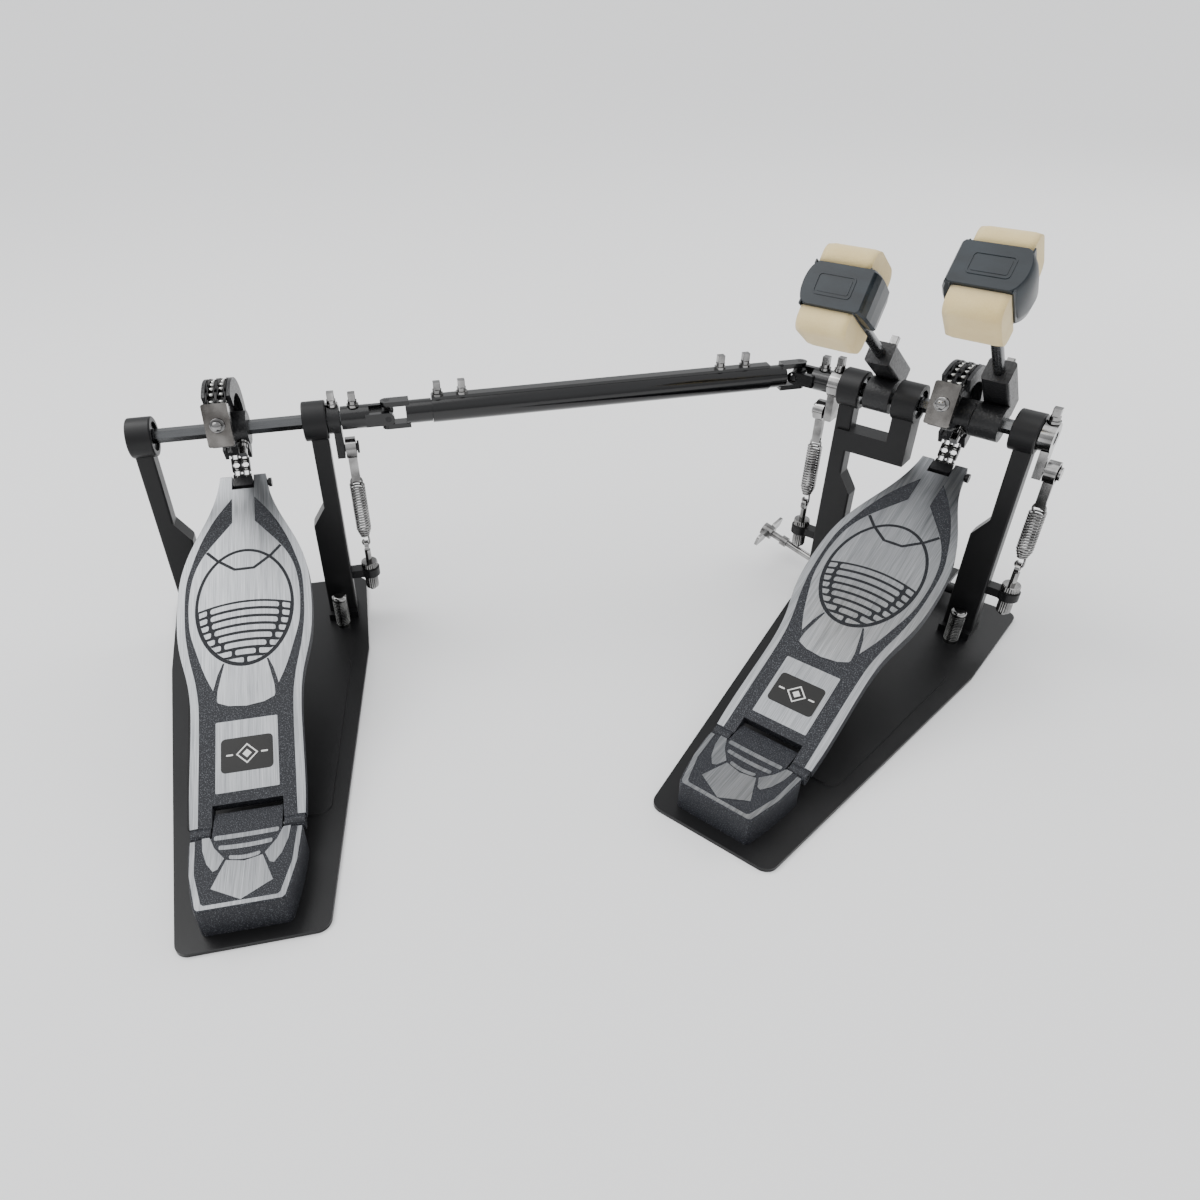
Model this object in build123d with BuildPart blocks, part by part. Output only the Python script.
from build123d import *
from math import acos, atan2, cos, degrees, hypot, radians, sin
import os

# Double bass drum pedal: a primary pedal with two beaters, a remote slave pedal and the drive line
# that joins them.  Each pedal is drawn in its own frame: X along the shaft, to the right; Y forward,
# to the drum; Z up; origin on the floor below the shaft, on the footboard's centre line.  The row's
# frame is the primary pedal's.  All lengths are millimetres, all angles degrees.

# ---- driving dimensions -------------------------------------------------------------------------
CLEAR = 0.3                      # gap between pieces of different bodies
RUNNING = 0.05                   # radial clearance of a running fit

SHAFT_Z = 183.0                  # height of the shafts' axis
HEX = 9.5                        # hexagon shaft, across flats
SLEEVE_R = 5.5                   # round sleeve on the hexagon, where it runs in a bearing
BOSS_R, BOSS_W = 15.0, 18.0      # bearing boss on top of each post
BEARING_R, BEARING_W = 11.0, 14.0

BASE_T = 3.0
BASE_CORNER = 9.0
BASE_OUTLINE = [(-41, -322), (48, -321), (80, -56), (81, 50), (-88, 50), (-79, -53)]
PANEL_OUTLINE = [(-45, -232), (49, -232), (66, -66), (-64, -66)]
PANEL_RISE = 0.9

HINGE_Y, HINGE_Z = -251.0, 20.5  # heel hinge of the footboard
HINGE_PIN_R = 2.5
HEEL_FRONT_Y, HEEL_BACK_Y = -312.0, -257.5
HEEL_FRONT_HW, HEEL_BACK_HW = 26.3, 35.2
HEEL_TOP = 26.0
TONGUE_HW = 21.5                 # tongue of the heel plate, inside the footboard's notch

SLOPE = 22.92                    # footboard at rest
BOARD_Y, BOARD_Z = -236.4, 29.97  # point of the footboard's top face, where u = 0
BOARD_T, RIM_DEPTH, RIM_W = 5.0, 9.0, 3.5
BOARD_SIDE = [(36, -13), (36.6, 50), (39.4, 91), (45.2, 116), (47.8, 148), (45.4, 182), (38.4, 206),
              (26.6, 234), (19.4, 259), (17.7, 272.6)]
TOE_SLOT_HW, TOE_SLOT_U, TOE_PIN_U = 8.25, 259.5, 266.5
TOE_PIN_W, TOE_PIN_R, TOE_HEAD_X = -4.2, 2.4, 19.3

CAM_R, CHEEK_R, CAM_W = 31.8, 37.5, 15.2
CHAIN_R, CHAIN_H, CHAIN_W = 35.0, 5.4, 14.5   # double roller chain: pitch radius, height, width
CHAIN_TOP_ANGLE = 128.0          # where the chain leaves its clamp, from +Y about the shaft
CHAIN_HINGE_ANGLE = 2.0          # link pin about which the hanging run turns

COLUMN_W, COLUMN_D = 13.0, 14.0
SHOULDER_IN, SHOULDER_TOP, SHOULDER_LOW = 10.5, 110.0, 94.0
LUG_R, LUG_T, LUG_HOLE_R = 8.0, 7.0, 3.3

ARM_REACH = 25.0                 # spring pin below the shaft
ARM_W, ARM_R, ARM_PIN_R = 9.0, 11.0, 3.0
RING_IN, RING_OUT, RING_W = 6.4, 8.4, 8.0
SPRING_R, SPRING_TOP, SPRING_RISE = 6.3, 126.0, 25.0   # rise: lug to the eyebolt's eye

HUB_R, HUB_W = 13.0, 20.0
ROD_R, ROD_OFFSET = 4.0, 20.0
ROD_TAIL, ROD_TOP = -22.0, 165.0
HEAD_LOW, HEAD_HIGH = 127.0, 171.0
HEAD_HW, HEAD_CORE, FELT_HW, FELT_DEPTH = 24.0, 14.0, 17.0, 29.0

TUBE_R, TUBE_BORE_R, COLLAR_R = 10.0, 7.5, 9.0
YOKE_GAP, YOKE_EAR, YOKE_TIP = 7.0, 11.0, 5.0
YOKE_START = 14.0                # from the cross to the yoke's barrel
CROSS_PIN_R, CROSS_CLEAR = 2.4, 1.1

# ---- places -------------------------------------------------------------------------------------
SLAVE_ANGLE = 51.3               # slave shaft against primary shaft
PRIMARY_JOINT_X = -126.2         # universal joint beside the primary pedal
DRIVE_REACH = 458.2              # slave origin to that joint, along the slave shaft
SLAVE_JOINT_X = 120.0            # universal joint beside the slave pedal, in the slave's frame
TUBE_START, TUBE_END = 154.5, 430.0

PRIMARY = Location((0, 0, 0))
SLAVE = Location(
    (PRIMARY_JOINT_X - DRIVE_REACH * cos(radians(SLAVE_ANGLE)), -DRIVE_REACH * sin(radians(SLAVE_ANGLE)), 0),
    (0, 0, SLAVE_ANGLE),
)
BOARD_PLANE = Plane(
    origin=(0, BOARD_Y, BOARD_Z), x_dir=(1, 0, 0),
    z_dir=(0, -sin(radians(SLOPE)), cos(radians(SLOPE))),
)
AXIS = (0, SHAFT_Z)              # shaft centre in a sketch on a YZ plane

# bosses, spring stations and spurs of the two pedals
PRIMARY_RIGHT, PRIMARY_LEFT, BRACKET_X = 53.0, -77.9, -33.0
SLAVE_RIGHT, SLAVE_LEFT = 64.9, -61.8
PRIMARY_RING, PRIMARY_LUG_Z = 76.6, 50.0
SECONDARY_RING, SECONDARY_LUG_Z = -101.5, 44.0
SLAVE_RING, SLAVE_LUG_Z = 88.5, 42.0
SECONDARY_HUB_X, PRIMARY_HUB_X = -55.5, 26.0
SECONDARY_LEAN, PRIMARY_LEAN = 55.0, 45.0


def save(name, part, place=PRIMARY):
    """Move a piece from its pedal's frame to the row's frame, label it and write its STEP file."""
    placed = part.moved(place)
    placed.label = name
    export_step(placed, f"parts/{name}.step")


def bar_x(start, end, radius, y=0.0, z=SHAFT_Z, mode=Mode.ADD):
    """Round bar along X, from start to end, in the part being built."""
    with Locations((start, y, z)):
        Cylinder(radius, end - start, rotation=(0, 90, 0),
                 align=(Align.CENTER, Align.CENTER, Align.MIN), mode=mode)


def bar_z(low, high, radius, x=0.0, y=0.0, mode=Mode.ADD):
    """Upright round bar in the part being built."""
    with Locations((x, y, low)):
        Cylinder(radius, high - low, align=(Align.CENTER, Align.CENTER, Align.MIN), mode=mode)


def block(x_range, y_range, z_range, mode=Mode.ADD):
    """Box between the given limits, in the part being built."""
    lows = [min(pair) for pair in (x_range, y_range, z_range)]
    sizes = [abs(pair[1] - pair[0]) for pair in (x_range, y_range, z_range)]
    with Locations(tuple(lows)):
        Box(*sizes, align=(Align.MIN, Align.MIN, Align.MIN), mode=mode)


def hex_bar(start, end):
    """Hexagon bar along X on the shaft's axis."""
    with BuildPart() as bar:
        with BuildSketch(Plane.YZ.offset(start)):
            with Locations(AXIS):
                RegularPolygon(HEX / 2, 6, major_radius=False)
        extrude(amount=end - start)
    return bar.part


# ---- base, heel and footboard -------------------------------------------------------------------
def base_plate(spurs_x):
    """Flat base plate with a raised panel and threaded holes for the spurs."""
    with BuildPart() as plate:
        with BuildSketch() as outline:
            with BuildLine():
                Polyline(*BASE_OUTLINE, close=True)
            make_face()
            fillet(outline.vertices(), BASE_CORNER)
        extrude(amount=BASE_T)
        with BuildSketch(Plane.XY.offset(BASE_T)) as panel:
            with BuildLine():
                Polyline(*PANEL_OUTLINE, close=True)
            make_face()
            fillet(panel.vertices(), BASE_CORNER)
        extrude(amount=PANEL_RISE, taper=30)
        for x in spurs_x:
            bar_z(-1, BASE_T + 2, SPUR_R, x, SPUR_Y, mode=Mode.SUBTRACT)
    return plate.part


SPUR_R, SPUR_Y, SPUR_TOP = 5.5, -21.0, 33.0


def spurs(spurs_x):
    """Threaded floor spurs with domed heads, wound up clear of the floor."""
    with BuildPart() as group:
        for x in spurs_x:
            bar_z(0.6, SPUR_TOP, SPUR_R, x, SPUR_Y)
        fillet(group.faces().sort_by(Axis.Z)[-len(spurs_x):].edges(), 1.5)
    return group.part


def heel_plate():
    """Heel rest casting with the tongue that carries the footboard's hinge pin."""
    bulge = 1.5
    mid_y = (HEEL_FRONT_Y + HEEL_BACK_Y) / 2
    mid_hw = (HEEL_FRONT_HW + HEEL_BACK_HW) / 2 + bulge
    with BuildPart() as heel:
        with BuildSketch(Plane.XY.offset(BASE_T)):
            with BuildLine():
                Line((-HEEL_FRONT_HW, HEEL_FRONT_Y), (HEEL_FRONT_HW, HEEL_FRONT_Y))
                ThreePointArc((HEEL_FRONT_HW, HEEL_FRONT_Y), (mid_hw, mid_y), (HEEL_BACK_HW, HEEL_BACK_Y))
                Line((HEEL_BACK_HW, HEEL_BACK_Y), (-HEEL_BACK_HW, HEEL_BACK_Y))
                ThreePointArc((-HEEL_BACK_HW, HEEL_BACK_Y), (-mid_hw, mid_y), (-HEEL_FRONT_HW, HEEL_FRONT_Y))
            make_face()
        extrude(amount=HEEL_TOP - BASE_T)
        fillet(heel.edges().filter_by(Axis.Z), 4)
        fillet(heel.faces().sort_by(Axis.Z)[-1].edges(), 1.2)
        block((-TONGUE_HW, TONGUE_HW), (HEEL_BACK_Y - 4, -238.5), (12, HEEL_TOP - 0.6))
        bar_x(-TONGUE_HW - 1, TONGUE_HW + 1, HINGE_PIN_R, HINGE_Y, HINGE_Z, mode=Mode.SUBTRACT)
    return heel.part


def heel_hinge_pin():
    """Steel pin through the tongue and the footboard's two knuckles."""
    with BuildPart() as pin:
        bar_x(-35, 35, HINGE_PIN_R, HINGE_Y, HINGE_Z)
        chamfer(pin.edges(), 0.5)
    return pin.part


def board_outline(inset=0.0):
    """Plan outline of the footboard in its own plane, with its sides moved in by an inset."""
    side = [(x - inset, u) for x, u in BOARD_SIDE]
    mirrored = [(-x, u) for x, u in reversed(side)]
    with BuildSketch() as outline:
        with BuildLine():
            Spline(*side)
            Line(side[-1], mirrored[0])
            Spline(*mirrored)
            Line(mirrored[-1], side[0])
        make_face()
    return outline.sketch


def footboard():
    """Cast footboard: plate with a down-turned rim, toe slot, heel notch and knuckles."""
    with BuildPart() as board:
        with BuildSketch(BOARD_PLANE):
            add(board_outline())
        extrude(amount=-RIM_DEPTH)
        fillet(board.faces().sort_by(SortBy.AREA)[-1].edges(), 0.8)
        with BuildSketch(BOARD_PLANE.offset(-RIM_DEPTH)):
            add(board_outline(RIM_W))
            with Locations((0, 127)):
                Rectangle(110, 246, mode=Mode.INTERSECT)
        extrude(amount=RIM_DEPTH - BOARD_T, mode=Mode.SUBTRACT)
        with BuildSketch(BOARD_PLANE.offset(-RIM_DEPTH)):
            for x in (-14, 14):
                with Locations((x, 127)):
                    Rectangle(3, 244)
        extrude(amount=RIM_DEPTH - BOARD_T + 0.1)
        for x in (-29, 29):
            bar_x(x - 6.3, x + 6.3, 5.0, HINGE_Y, HINGE_Z)
        with BuildSketch(BOARD_PLANE.offset(5)):
            with Locations((0, TOE_SLOT_U)):
                Rectangle(2 * TOE_SLOT_HW, 30, align=(Align.CENTER, Align.MIN))
            with Locations((0, 1)):
                Rectangle(2 * (TONGUE_HW + 0.8), 40, align=(Align.CENTER, Align.MAX))
        extrude(amount=-30, mode=Mode.SUBTRACT)
        bar_x(-40, 40, HINGE_PIN_R + RUNNING, HINGE_Y, HINGE_Z, mode=Mode.SUBTRACT)
        toe_pin(-40, 40, mode=Mode.SUBTRACT)
    return board.part


def toe_pin(start, end, radius=TOE_PIN_R, mode=Mode.ADD):
    """Round bar along the toe pin's axis, in the part being built."""
    centre = BOARD_PLANE.from_local_coords((0, TOE_PIN_U, TOE_PIN_W))
    bar_x(start, end, radius, centre.Y, centre.Z, mode)


def toe_clevis():
    """Black clevis in the toe slot, with its cross pin, that holds the end of the chain."""
    with BuildPart() as clevis:
        with BuildSketch(BOARD_PLANE.offset(TOE_PIN_W - 4)):
            with Locations((0, TOE_PIN_U - 0.5)):
                RectangleRounded(2 * TOE_SLOT_HW - 1.2, 9, 1.5)
        extrude(amount=9.5)
        toe_pin(-17.5, TOE_HEAD_X)
        toe_pin(TOE_HEAD_X, TOE_HEAD_X + 2.4, 3.6)
    return clevis.part


# ---- posts and bearings -------------------------------------------------------------------------
def post(boss_x, outward, ring_x, lug_z):
    """Upright casting; outward is +1 or -1, and a lug_z of None leaves the spring lug out."""
    centre = boss_x + outward * 1.4
    outer, inner = centre + outward * COLUMN_W / 2, centre - outward * COLUMN_W / 2
    step = inner - outward * SHOULDER_IN
    with BuildPart() as casting:
        with BuildSketch(Plane.XZ):
            with BuildLine():
                Polyline(
                    (outer, BASE_T), (outer, SHAFT_Z - 6), (inner, SHAFT_Z - 6), (inner, SHOULDER_TOP),
                    (step, SHOULDER_LOW), (step, BASE_T), close=True,
                )
            make_face()
        extrude(amount=COLUMN_D / 2, both=True)
        fillet(casting.edges().filter_by(Axis.Z), 1.5)
        bar_x(boss_x - BOSS_W / 2, boss_x + BOSS_W / 2, BOSS_R)
        fillet(casting.faces().filter_by(Axis.X).sort_by(Axis.Z)[-2:].edges().filter_by(GeomType.CIRCLE), 1.2)
        block((step - outward, outer), (-13, 13), (BASE_T, BASE_T + 6))
        bar_x(boss_x - BOSS_W, boss_x + BOSS_W, BEARING_R, mode=Mode.SUBTRACT)
        if lug_z is not None:
            block((outer - outward * 2, ring_x), (-5, 5), (lug_z - LUG_T / 2, lug_z + LUG_T / 2))
            bar_z(lug_z - LUG_T / 2, lug_z + LUG_T / 2, LUG_R, ring_x)
            bar_z(lug_z - LUG_T, lug_z + LUG_T, LUG_HOLE_R, ring_x, mode=Mode.SUBTRACT)
    return casting.part


WEB_LOW, WEB_HIGH, WEB_HALF_D = 133.0, 150.0, 9.0


def primary_left_post():
    """Left post with the U-shaped bracket that holds the secondary shaft's inner bearing."""
    left_end, right_end = PRIMARY_LEFT - BOSS_W / 2 + 4, BRACKET_X + BOSS_W / 2 - 1
    with BuildPart() as casting:
        add(post(PRIMARY_LEFT, -1, SECONDARY_RING, SECONDARY_LUG_Z))
        block((left_end, right_end), (-WEB_HALF_D, WEB_HALF_D), (WEB_LOW, WEB_HIGH))
        block((BRACKET_X - 8, right_end), (-WEB_HALF_D, WEB_HALF_D), (WEB_LOW, SHAFT_Z))
        bar_x(BRACKET_X - BOSS_W / 2, BRACKET_X + BOSS_W / 2, BOSS_R)
        bar_x(BRACKET_X - BOSS_W, BRACKET_X + BOSS_W, BEARING_R, mode=Mode.SUBTRACT)
        bar_x(PRIMARY_LEFT - BOSS_W, PRIMARY_LEFT + BOSS_W, BEARING_R, mode=Mode.SUBTRACT)
    return casting.part


def bearings(stations):
    """Bearing rings, pressed into the bosses."""
    with BuildPart() as rings:
        for x in stations:
            bar_x(x - BEARING_W / 2, x + BEARING_W / 2, BEARING_R)
            bar_x(x - BEARING_W, x + BEARING_W, SLEEVE_R + RUNNING, mode=Mode.SUBTRACT)
    return rings.part


def shaft(start, end, journals):
    """Hexagon shaft with round sleeves at its journals."""
    with BuildPart() as bar:
        add(hex_bar(start, end))
        for low, high in journals:
            bar_x(low, high, SLEEVE_R)
    return bar.part


# ---- cam and chain ------------------------------------------------------------------------------
def polar(radius, angle):
    """Point in the shaft's YZ sketch, at an angle from +Y."""
    return (radius * cos(radians(angle)), SHAFT_Z + radius * sin(radians(angle)))


CAM_HUB_R, CAM_WEB, CAM_WALL, CHEEK_T = 12.5, 6.0, 4.0, 2.6
CHEEK_FROM, CHEEK_TO = -62.0, 118.0
CAM_OPEN_FROM, CAM_OPEN_TO = 180.0, 296.0    # rim and web are cut away below the chain clamp


def arc_band(r_in, r_out, start, end):
    """Face of a ring sector about the shaft, for a sketch on a YZ plane."""
    mid = (start + end) / 2
    with BuildSketch() as band:
        with BuildLine():
            Line(polar(r_in, start), polar(r_out, start))
            ThreePointArc(polar(r_out, start), polar(r_out, mid), polar(r_out, end))
            Line(polar(r_out, end), polar(r_in, end))
            ThreePointArc(polar(r_in, end), polar(r_in, mid), polar(r_in, start))
        make_face()
    return band.sketch


def cam():
    """Chain cam: hub on the hexagon, web, drum rim and C-shaped side cheeks."""
    with BuildPart() as wheel:
        bar_x(-CAM_W / 2, CAM_W / 2 + 7.8, CAM_HUB_R)
        bar_x(-CAM_WEB / 2, CAM_WEB / 2, CAM_R)
        with BuildSketch(Plane.YZ.offset(-CAM_W / 2)):
            with Locations(AXIS):
                Circle(CAM_R)
                Circle(CAM_R - CAM_WALL, mode=Mode.SUBTRACT)
        extrude(amount=CAM_W)
        for start in (-CAM_W / 2 - CHEEK_T, CAM_W / 2):
            with BuildSketch(Plane.YZ.offset(start)):
                add(arc_band(CAM_R - CAM_WALL - 2, CHEEK_R, CHEEK_FROM, CHEEK_TO))
            extrude(amount=CHEEK_T)
        with BuildSketch(Plane.YZ.offset(-CAM_W)):
            add(arc_band(CAM_HUB_R + 1, CHEEK_R + 2, CAM_OPEN_FROM, CAM_OPEN_TO))
        extrude(amount=2 * CAM_W, mode=Mode.SUBTRACT)
        add(hex_bar(-CAM_W, CAM_W + 12), mode=Mode.SUBTRACT)
    return wheel.part


CLAMP_CENTRE, CLAMP_TILT = (-36.0, SHAFT_Z + 19.0), 12.0


def clamp_plane():
    """Plane of the chain clamp's front face, seen from the drummer."""
    y, z = CLAMP_CENTRE
    tilt = radians(CLAMP_TILT)
    return Plane(origin=(0, y, z), x_dir=(1, 0, 0), z_dir=(0, -cos(tilt), sin(tilt)))


def chain_clamp():
    """U-shaped clamp box on the drummer's side of the cam, with its bolt."""
    with BuildPart() as clamp:
        with BuildSketch(clamp_plane()):
            RectangleRounded(18, 31, 1.5)
        extrude(amount=-2)
        with BuildSketch(clamp_plane().offset(-2)):
            for x in (-8, 8):
                with Locations((x, 0)):
                    Rectangle(2, 28)
        extrude(amount=-5)
        with BuildSketch(clamp_plane()):
            Circle(5)
        extrude(amount=1.2)
        with BuildSketch(clamp_plane().offset(1.2)):
            RegularPolygon(3.6, 6)
        extrude(amount=3.5)
    return clamp.part


def toe_point():
    """Toe pin centre in the pedal's YZ plane, with the shaft's axis as origin."""
    pin = BOARD_PLANE.from_local_coords((0, TOE_PIN_U, TOE_PIN_W))
    return (pin.Y, pin.Z - SHAFT_Z)


def tangent_angle():
    """Angle at which the hanging chain leaves the cam."""
    y, z = toe_point()
    return degrees(atan2(z, y) + acos(CHAIN_R / hypot(y, z)))


def chain_wrap():
    """Chain on the cam, from its clamp to the first free link."""
    with BuildPart() as band:
        with BuildSketch(Plane.YZ.offset(-CHAIN_W / 2)):
            add(arc_band(CHAIN_R - CHAIN_H / 2, CHAIN_R + CHAIN_H / 2, CHAIN_HINGE_ANGLE, CHAIN_TOP_ANGLE))
        extrude(amount=CHAIN_W)
    return band.part


CHAIN_START_DROP, CHAIN_END_GAP = 6.0, 9.0


def chain_run():
    """Hanging run: the links still on the cam, and the straight stretch down to the clevis."""
    leave = tangent_angle()
    toe_y, toe_z = toe_point()
    length = (hypot(toe_y, toe_z) ** 2 - CHAIN_R ** 2) ** 0.5 - CHAIN_END_GAP
    down = (sin(radians(leave)), -cos(radians(leave)))
    inner, outer = polar(CHAIN_R - CHAIN_H / 2, leave), polar(CHAIN_R + CHAIN_H / 2, leave)
    corners = [inner, outer, *[(y + length * down[0], z + length * down[1]) for y, z in (outer, inner)]]
    with BuildPart() as run:
        with BuildSketch(Plane.YZ.offset(-CHAIN_W / 2)):
            add(arc_band(CHAIN_R - CHAIN_H / 2, CHAIN_R + CHAIN_H / 2, leave,
                         CHAIN_HINGE_ANGLE - CHAIN_START_DROP))
            with BuildLine():
                Polyline(*corners, close=True)
            make_face()
        extrude(amount=CHAIN_W)
    return run.part


# ---- return springs -----------------------------------------------------------------------------
def spring_arm(ring_x, outward):
    """Lever on the shaft's end, with the pin that the spring's ring hangs on."""
    near = ring_x - outward * (RING_W / 2 + 1)
    far = near - outward * ARM_W
    with BuildPart() as arm:
        bar_x(min(near, far), max(near, far), ARM_R)
        block((near, near - outward * 6), (-6, 6), (SHAFT_Z - ARM_REACH - 6, SHAFT_Z))
        add(hex_bar(min(near, far) - 1, max(near, far) + 1), mode=Mode.SUBTRACT)
        tip = ring_x + outward * (RING_W / 2 + 0.8)
        bar_x(min(near, tip), max(near, tip), ARM_PIN_R, z=SHAFT_Z - ARM_REACH)
        cap = tip + outward * 1.5
        bar_x(min(tip, cap), max(tip, cap), 5.0, z=SHAFT_Z - ARM_REACH)
    return arm.part


def spring_hanger(ring_x):
    """Ring, two-bar shank and hook plate between the arm's pin and the spring."""
    centre = SHAFT_Z - ARM_REACH
    with BuildPart() as hanger:
        bar_x(ring_x - RING_W / 2, ring_x + RING_W / 2, RING_OUT, z=centre)
        block((ring_x - 3.5, ring_x + 3.5), (-2, 2), (SPRING_TOP + 3, centre))
        bar_x(ring_x - RING_W, ring_x + RING_W, RING_IN, z=centre, mode=Mode.SUBTRACT)
        bar_x(ring_x - RING_W, ring_x + RING_W, 1.6, z=SPRING_TOP + 6, mode=Mode.SUBTRACT)
    return hanger.part


def spring_coil(ring_x, lug_z):
    """Outer form of the coil spring, with its tapered lower end."""
    low = lug_z + SPRING_RISE
    with BuildPart() as coil:
        bar_z(low + 12, SPRING_TOP, SPRING_R, ring_x)
        with Locations((ring_x, 0, low + 8)):
            Cone(2.0, SPRING_R, 8, align=(Align.CENTER, Align.CENTER, Align.MIN))
        bar_z(low + 5, low + 9, 1.1, ring_x)
    return coil.part


def spring_eyebolt(ring_x, lug_z):
    """Eyebolt through the lug, with a knurled nut above it and a long one below."""
    top, bottom = lug_z + LUG_T / 2, lug_z - LUG_T / 2
    with BuildPart() as bolt:
        bar_z(bottom - 15, lug_z + SPRING_RISE - 4, 2.6, ring_x)
        bar_z(top, top + 6, 6.6, ring_x)
        bar_z(bottom - 12.5, bottom, 5.2, ring_x)
        bar_x(ring_x - 1.8, ring_x + 1.8, 4.6, z=lug_z + SPRING_RISE)
        bar_x(ring_x - 4, ring_x + 4, 2.4, z=lug_z + SPRING_RISE, mode=Mode.SUBTRACT)
    return bolt.part


# ---- key screws ---------------------------------------------------------------------------------
def key_screw(seat, shank=4.0):
    """Drum-key screw: square head, flange and shank; seat is the plane under its flange."""
    with BuildPart() as screw:
        with BuildSketch(seat.offset(-shank)):
            Circle(2.9)
        extrude(amount=shank)
        with BuildSketch(seat):
            Circle(4.6)
        extrude(amount=1.8)
        with BuildSketch(seat.offset(1.8)):
            Circle(3.6)
        extrude(amount=3)
        with BuildSketch(seat.offset(4.8)) as head:
            Rectangle(5.6, 5.6)
            fillet(head.vertices(), 0.8)
        extrude(amount=6)
    return screw.part


def screw_group(seats):
    """Several key screws as one group of separate solids."""
    with BuildPart() as group:
        for seat in seats:
            add(key_screw(seat))
    return group.part


def seat_above(x, radius, angle=90.0):
    """Screw seat at a radius from the shaft's axis, at an angle from +Y."""
    y, z = polar(radius, angle)
    return Plane(origin=(x, y, z), x_dir=(1, 0, 0), z_dir=(0, cos(radians(angle)), sin(radians(angle))))


def bored(part, seats):
    """The part with a hole for each screw's shank."""
    with BuildPart() as drilled:
        add(part)
        for seat in seats:
            with BuildSketch(seat.offset(-4)):
                Circle(2.9)
            extrude(amount=6, mode=Mode.SUBTRACT)
    return drilled.part


# ---- beaters ------------------------------------------------------------------------------------
def rod_plane(hub_x, lean):
    """Plane across a beater rod: its normal is the rod, its x is X, its y points away from the drum."""
    tilt = radians(lean)
    out_y, out_z = ROD_OFFSET * cos(tilt), ROD_OFFSET * sin(tilt)
    return Plane(origin=(hub_x, out_y, SHAFT_Z + out_z), x_dir=(1, 0, 0), z_dir=(0, -sin(tilt), cos(tilt)))


BLOCK_LOW, BLOCK_HIGH, BLOCK_W, BLOCK_D = -12.0, 42.0, 19.0, 17.0


def beater_hub(hub_x, lean):
    """Hub on the hexagon shaft with the long block that grips the rod."""
    across = rod_plane(hub_x, lean)
    with BuildPart() as hub:
        bar_x(hub_x - HUB_W / 2, hub_x + HUB_W / 2, HUB_R)
        with BuildSketch(across.offset(BLOCK_LOW)) as section:
            Rectangle(BLOCK_W, BLOCK_D)
            fillet(section.vertices(), 2.5)
        extrude(amount=BLOCK_HIGH - BLOCK_LOW)
        with BuildSketch(across.offset(BLOCK_LOW - 2)):
            Circle(ROD_R + RUNNING)
        extrude(amount=BLOCK_HIGH - BLOCK_LOW + 4, mode=Mode.SUBTRACT)
        add(hex_bar(hub_x - HUB_W, hub_x + HUB_W), mode=Mode.SUBTRACT)
    return hub.part


def hub_screw_seat(hub_x, lean, along=22.0):
    """Seat of the key screw on the drummer's face of the hub's block."""
    across = rod_plane(hub_x, lean).offset(along)
    face = across.from_local_coords((0, BLOCK_D / 2, 0))
    return Plane(origin=face, x_dir=(1, 0, 0), z_dir=across.y_dir)


def beater_rod(hub_x, lean):
    """Steel rod of the beater."""
    with BuildPart() as rod:
        with BuildSketch(rod_plane(hub_x, lean).offset(ROD_TAIL)):
            Circle(ROD_R)
        extrude(amount=ROD_TOP - ROD_TAIL)
        chamfer(rod.edges(), 0.6)
    return rod.part


def beater_body(hub_x, lean):
    """Plastic body between the felts, waisted in the middle, with its cap plate."""
    plane = rod_plane(hub_x, lean)
    with BuildPart() as body:
        with BuildSketch(plane.offset(HEAD_LOW)) as section:
            Rectangle(2 * HEAD_HW - 4, 2 * HEAD_CORE)
            fillet(section.vertices(), 3)
        extrude(amount=HEAD_HIGH - HEAD_LOW - 4)
        with BuildSketch(plane.offset(HEAD_HIGH - 4)) as cap:
            Rectangle(2 * HEAD_HW, 2 * HEAD_CORE)
            fillet(cap.vertices(), 4)
        extrude(amount=4)
        with BuildSketch(plane.offset(HEAD_LOW - 1)):
            Circle(ROD_R)
        extrude(amount=ROD_TOP - HEAD_LOW + 1, mode=Mode.SUBTRACT)
    return body.part


def beater_felts(hub_x, lean):
    """Two felt striking pads, one on each side of the body."""
    plane = rod_plane(hub_x, lean)
    thick = FELT_DEPTH - HEAD_CORE - CLEAR
    with BuildPart() as felts:
        with BuildSketch(plane.offset(HEAD_LOW + 2)) as section:
            for side in (-1, 1):
                with Locations((0, side * (HEAD_CORE + CLEAR + thick / 2))):
                    Rectangle(2 * FELT_HW, thick)
            fillet(section.vertices(), 4)
        extrude(amount=HEAD_HIGH - HEAD_LOW - 6)
    return felts.part


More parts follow.
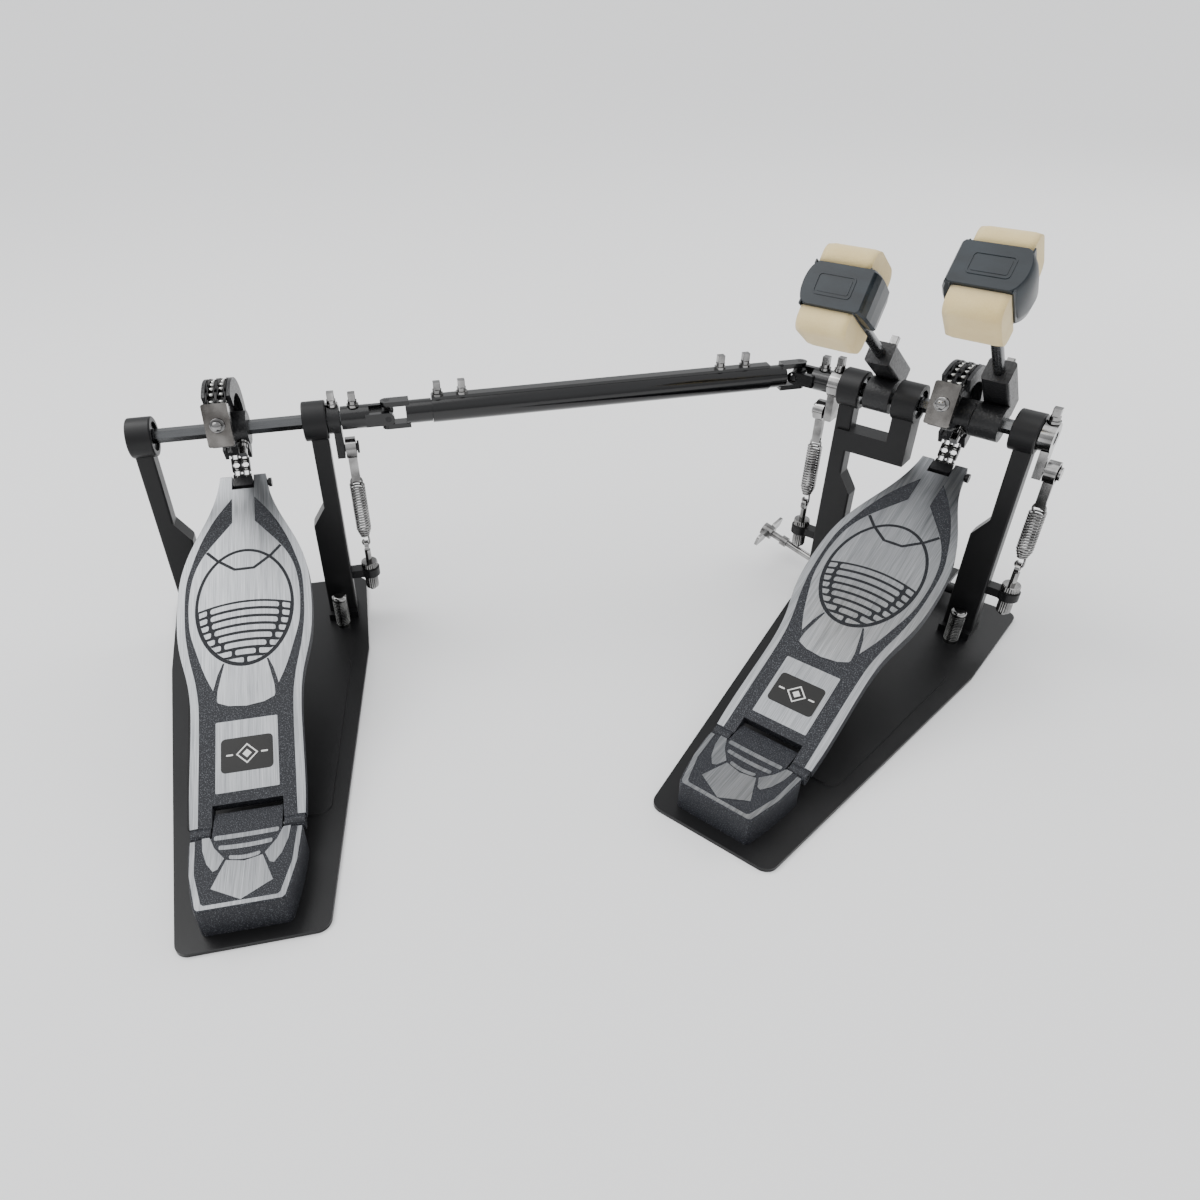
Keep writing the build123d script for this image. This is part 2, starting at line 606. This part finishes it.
# ---- drive line, drawn along the slave's shaft --------------------------------------------------
def yoke(cross_x, towards, barrel_end, upright, slack):
    """Forked joint half: ears at the cross, and a barrel from YOKE_START to barrel_end.

    towards is +1 when the barrel lies at greater X than the cross; upright ears stand above and below.
    """
    start = cross_x + towards * YOKE_START
    across = (0, 0, 1) if upright else (0, 1, 0)
    middle, thick = (YOKE_GAP + YOKE_EAR) / 2, (YOKE_EAR - YOKE_GAP) / 2
    face = Plane(origin=(cross_x, 0, SHAFT_Z), x_dir=(towards, 0, 0), z_dir=across)
    with BuildPart() as fork:
        bar_x(min(start, barrel_end), max(start, barrel_end), COLLAR_R)
        for side in (-1, 1):
            with BuildSketch(face.offset(side * middle)):
                Circle(YOKE_TIP)
                with Locations(((YOKE_START + 1) / 2, 0)):
                    Rectangle(YOKE_START + 1, 2 * YOKE_TIP)
            extrude(amount=thick, both=True)
        with BuildSketch(face):
            with Locations((YOKE_START + 1.5, 0)):
                Rectangle(3, 2 * YOKE_TIP)
        extrude(amount=YOKE_EAR, both=True)
        hole = CROSS_PIN_R + slack
        if upright:
            bar_z(SHAFT_Z - 20, SHAFT_Z + 20, hole, cross_x, mode=Mode.SUBTRACT)
        else:
            with Locations((cross_x, 0, SHAFT_Z)):
                Cylinder(hole, 40, rotation=(90, 0, 0), mode=Mode.SUBTRACT)
    return fork.part


def joint_cross(cross_x, swing):
    """Cross of a universal joint; swing turns its level pin about the upright one."""
    with BuildPart() as cross:
        with Locations((cross_x, 0, SHAFT_Z)):
            Box(8, 8, 8, rotation=(0, 0, swing))
            Cylinder(CROSS_PIN_R, 2 * YOKE_EAR)
        turn = radians(swing)
        with BuildSketch(Plane(origin=(cross_x, 0, SHAFT_Z), z_dir=(-sin(turn), cos(turn), 0))):
            Circle(CROSS_PIN_R)
        extrude(amount=YOKE_EAR, both=True)
    return cross.part


ROD_END = 290.0                  # inner end of the slave's rod, inside the tube


def drive_rod():
    """Slave end of the drive line: fork, collar and the rod that slides in the tube."""
    with BuildPart() as rod:
        add(yoke(SLAVE_JOINT_X, 1, TUBE_START - CLEAR, True, RUNNING))
        bar_x(TUBE_START - 2, ROD_END, TUBE_BORE_R - RUNNING)
    return rod.part


def drive_yoke():
    """Primary end of the drive line: fork and the short stem clamped in the tube."""
    with BuildPart() as fork:
        add(yoke(DRIVE_REACH, -1, TUBE_END, True, RUNNING))
        bar_x(TUBE_END - 50, TUBE_END + 2, TUBE_BORE_R)
    return fork.part


TUBE_SCREWS = (159.5, 178.5, 388.5, 409.5)
SPINE_W, SPINE_TOP = 8.0, 11.4


def drive_tube():
    """Tube with a flat spine along its top, drilled for the key screws."""
    with BuildPart() as tube:
        bar_x(TUBE_START, TUBE_END, TUBE_R)
        block((TUBE_START, TUBE_END), (-SPINE_W / 2, SPINE_W / 2), (SHAFT_Z, SHAFT_Z + SPINE_TOP))
        bar_x(TUBE_START - 1, TUBE_END + 1, TUBE_BORE_R, mode=Mode.SUBTRACT)
        for x in TUBE_SCREWS:
            bar_z(SHAFT_Z + 2, SHAFT_Z + 20, 2.9, x, mode=Mode.SUBTRACT)
    return tube.part


def tube_screws():
    """The drive line's four key screws."""
    with BuildPart() as group:
        for x in TUBE_SCREWS:
            add(key_screw(seat_above(x, SPINE_TOP), SPINE_TOP - TUBE_BORE_R - RUNNING))
    return group.part


# ---- hoop clamp ---------------------------------------------------------------------------------
JAW_Y, JAW_Z, JAW_BARREL_R, JAW_HW = 34.0, 15.0, 4.0, 38.0
JAW_PIN_R = 2.0
LIP_Y, LIP_HW = 63.0, 26.0
TAIL_X = (-59.0, -49.0)
WING_SLOPE, WING_X, WING_Z = 15.0, -133.0, 29.5
WING_R, WING_END = 3.0, 80.0


def wing_plane(along):
    """Plane across the wing bolt, at a distance from its wings towards the post."""
    tilt = radians(WING_SLOPE)
    axis = (cos(tilt), 0, -sin(tilt))
    return Plane(origin=(WING_X + along * axis[0], 0, WING_Z + along * axis[2]), x_dir=(0, 1, 0), z_dir=axis)


def clamp_base(spurs_x):
    """Primary base plate, with the lip under the drum's hoop and the ears of the clamp's jaw."""
    with BuildPart() as plate:
        add(base_plate(spurs_x))
        block((-LIP_HW, LIP_HW), (45, LIP_Y), (0, BASE_T))
        for side in (-1, 1):
            ear = (side * (JAW_HW + CLEAR), side * (JAW_HW + 5))
            block(ear, (JAW_Y - 6, JAW_Y + 6), (BASE_T, JAW_Z))
            bar_x(min(ear), max(ear), 6, JAW_Y, JAW_Z)
        bar_x(-60, 60, JAW_PIN_R, JAW_Y, JAW_Z, mode=Mode.SUBTRACT)
    return plate.part


def hoop_clamp_jaw():
    """Rocking jaw: barrel and pivot pin, front lip over the hoop, tail over the wing bolt's tip."""
    with BuildPart() as jaw:
        bar_x(-JAW_HW, JAW_HW, JAW_BARREL_R, JAW_Y, JAW_Z)
        bar_x(-JAW_HW - 5, JAW_HW + 5, JAW_PIN_R - RUNNING, JAW_Y, JAW_Z)
        block((-LIP_HW + 2, LIP_HW - 2), (JAW_Y, LIP_Y - 1), (JAW_Z, JAW_Z + 4))
        block((TAIL_X[0], -30), (JAW_Y - 18, JAW_Y - 7), (JAW_Z, JAW_Z + 4))
        block((-36, -24), (JAW_Y - 18, JAW_Y), (JAW_Z, JAW_Z + 4))
        block(TAIL_X, (-5, JAW_Y - 7), (JAW_Z - 2, JAW_Z + 4))
    return jaw.part


def wing_bolt():
    """Long wing bolt: threaded shank, collar, hub and two flat wings."""
    with BuildPart() as bolt:
        with BuildSketch(wing_plane(0)):
            Circle(WING_R)
        extrude(amount=WING_END)
        with BuildSketch(wing_plane(-4)):
            Circle(6)
        extrude(amount=10)
        with BuildSketch(wing_plane(16)):
            Circle(4.6)
        extrude(amount=6)
        with BuildSketch(wing_plane(0.5)) as wings:
            for side in (-1, 1):
                with Locations((side * 14, 0)):
                    RectangleRounded(18, 11, 3)
        extrude(amount=2.4)
    return bolt.part


def clamp_post():
    """Left post of the primary pedal, drilled for the wing bolt."""
    with BuildPart() as casting:
        add(primary_left_post())
        with BuildSketch(wing_plane(20)):
            Circle(WING_R + RUNNING)
        extrude(amount=WING_END, mode=Mode.SUBTRACT)
    return casting.part


# ---- assembly -----------------------------------------------------------------------------------
def save_pedal(name, place, joint_side, spurs_x, rings):
    """Write the pieces that both pedals have; rings is (shaft ends, journals, spring x, lug z)."""
    (start, end), journals, ring_x, lug_z = rings
    cam_seat = seat_above(CAM_W / 2 + 2.4, CAM_HUB_R, 215)
    arm_seat = seat_above(ring_x - RING_W / 2 - 1 - ARM_W / 2, ARM_R, 90)
    save(f"{name}_heel_plate", heel_plate(), place)
    save(f"{name}_heel_hinge_pin", heel_hinge_pin(), place)
    save(f"{name}_footboard", footboard(), place)
    save(f"{name}_toe_clevis", toe_clevis(), place)
    save(f"{name}_shaft", shaft(start, end, journals), place)
    save(f"{name}_cam", bored(cam(), [cam_seat]), place)
    save(f"{name}_chain_clamp", chain_clamp(), place)
    save(f"{name}_chain_wrap", chain_wrap(), place)
    save(f"{name}_chain_run", chain_run(), place)
    save(f"{name}_spring_arm", bored(spring_arm(ring_x, 1), [arm_seat]), place)
    save(f"{name}_spring_hanger", spring_hanger(ring_x), place)
    save(f"{name}_spring_coil", spring_coil(ring_x, lug_z), place)
    save(f"{name}_spurs", spurs(spurs_x), place)
    return [cam_seat, arm_seat] + joint_side


def save_beater(name, hub_x, lean):
    """Write one beater: hub, rod, body and felts."""
    seat = hub_screw_seat(hub_x, lean)
    save(f"{name}_beater_hub", bored(beater_hub(hub_x, lean), [seat]))
    save(f"{name}_beater_rod", beater_rod(hub_x, lean))
    save(f"{name}_beater_body", beater_body(hub_x, lean))
    save(f"{name}_beater_felts", beater_felts(hub_x, lean))
    return seat


def journal(centre):
    """Sleeve limits of a bearing, a little longer than its ring."""
    return (centre - BOSS_W / 2, centre + BOSS_W / 2)


os.makedirs("parts", exist_ok=True)

# slave pedal
slave_spurs = (-60.0, 60.0)
slave_joint = yoke(SLAVE_JOINT_X, -1, SLAVE_RING - 4, False, 0)
slave_joint_seat = seat_above(94.5, COLLAR_R)
save("slave_base_plate", base_plate(slave_spurs), SLAVE)
with BuildPart() as slave_posts:
    add(post(SLAVE_LEFT, -1, None, None))
    add(post(SLAVE_RIGHT, 1, SLAVE_RING, SLAVE_LUG_Z))
save("slave_posts", slave_posts.part, SLAVE)
save("slave_bearings", bearings((SLAVE_LEFT, SLAVE_RIGHT)), SLAVE)
slave_seats = save_pedal(
    "slave", SLAVE, [slave_joint_seat], slave_spurs,
    ((-72.0, 104.0), [journal(SLAVE_LEFT), journal(SLAVE_RIGHT)], SLAVE_RING, SLAVE_LUG_Z),
)
save("slave_shaft_screws", screw_group(slave_seats), SLAVE)
save("slave_eyebolt", spring_eyebolt(SLAVE_RING, SLAVE_LUG_Z), SLAVE)
with BuildPart() as slave_joint_yoke:
    add(bored(slave_joint, [slave_joint_seat]))
    add(hex_bar(80, 110), mode=Mode.SUBTRACT)
save("slave_joint_yoke", slave_joint_yoke.part, SLAVE)
save("slave_joint_cross", joint_cross(SLAVE_JOINT_X, 0), SLAVE)

# drive line
save("drive_rod", drive_rod(), SLAVE)
save("drive_yoke", drive_yoke(), SLAVE)
save("drive_tube", drive_tube(), SLAVE)
save("drive_tube_screws", tube_screws(), SLAVE)
save("primary_joint_cross", joint_cross(DRIVE_REACH, -SLAVE_ANGLE), SLAVE)

# primary pedal
primary_spurs = (-52.0, 50.0)
save("primary_base_plate", clamp_base(primary_spurs))
save("primary_left_post", clamp_post())
save("primary_right_post", post(PRIMARY_RIGHT, 1, PRIMARY_RING, PRIMARY_LUG_Z))
save("primary_bearings", bearings((PRIMARY_LEFT, BRACKET_X, PRIMARY_RIGHT)))
with BuildPart() as eyebolts:
    add(spring_eyebolt(PRIMARY_RING, PRIMARY_LUG_Z))
    add(spring_eyebolt(SECONDARY_RING, SECONDARY_LUG_Z))
save("primary_eyebolts", eyebolts.part)
primary_hub_seat = save_beater("primary", PRIMARY_HUB_X, PRIMARY_LEAN)
primary_seats = save_pedal(
    "primary", PRIMARY, [primary_hub_seat], primary_spurs,
    ((-31.5, 71.0), [(-32.0, BRACKET_X + BOSS_W / 2), journal(PRIMARY_RIGHT)], PRIMARY_RING, PRIMARY_LUG_Z),
)
save("primary_shaft_screws", screw_group(primary_seats))

# secondary beater, driven by the slave pedal
secondary_hub_seat = save_beater("secondary", SECONDARY_HUB_X, SECONDARY_LEAN)
secondary_arm_seat = seat_above(SECONDARY_RING + RING_W / 2 + 1 + ARM_W / 2, ARM_R)
secondary_yoke_seat = seat_above(-104.6, COLLAR_R)
save("secondary_shaft", shaft(-111.0, -33.5, [journal(PRIMARY_LEFT), (BRACKET_X - BOSS_W / 2, -33.0)]))
save("secondary_spring_arm", bored(spring_arm(SECONDARY_RING, -1), [secondary_arm_seat]))
save("secondary_spring_hanger", spring_hanger(SECONDARY_RING))
save("secondary_spring_coil", spring_coil(SECONDARY_RING, SECONDARY_LUG_Z))
save("secondary_screws", screw_group([secondary_hub_seat, secondary_arm_seat, secondary_yoke_seat]))
with BuildPart() as primary_joint_yoke:
    add(bored(yoke(PRIMARY_JOINT_X, 1, SECONDARY_RING + 4, False, CROSS_CLEAR), [secondary_yoke_seat]))
    add(hex_bar(-113, -90), mode=Mode.SUBTRACT)
save("primary_joint_yoke", primary_joint_yoke.part)

# hoop clamp
save("hoop_clamp_jaw", hoop_clamp_jaw())
save("wing_bolt", wing_bolt())
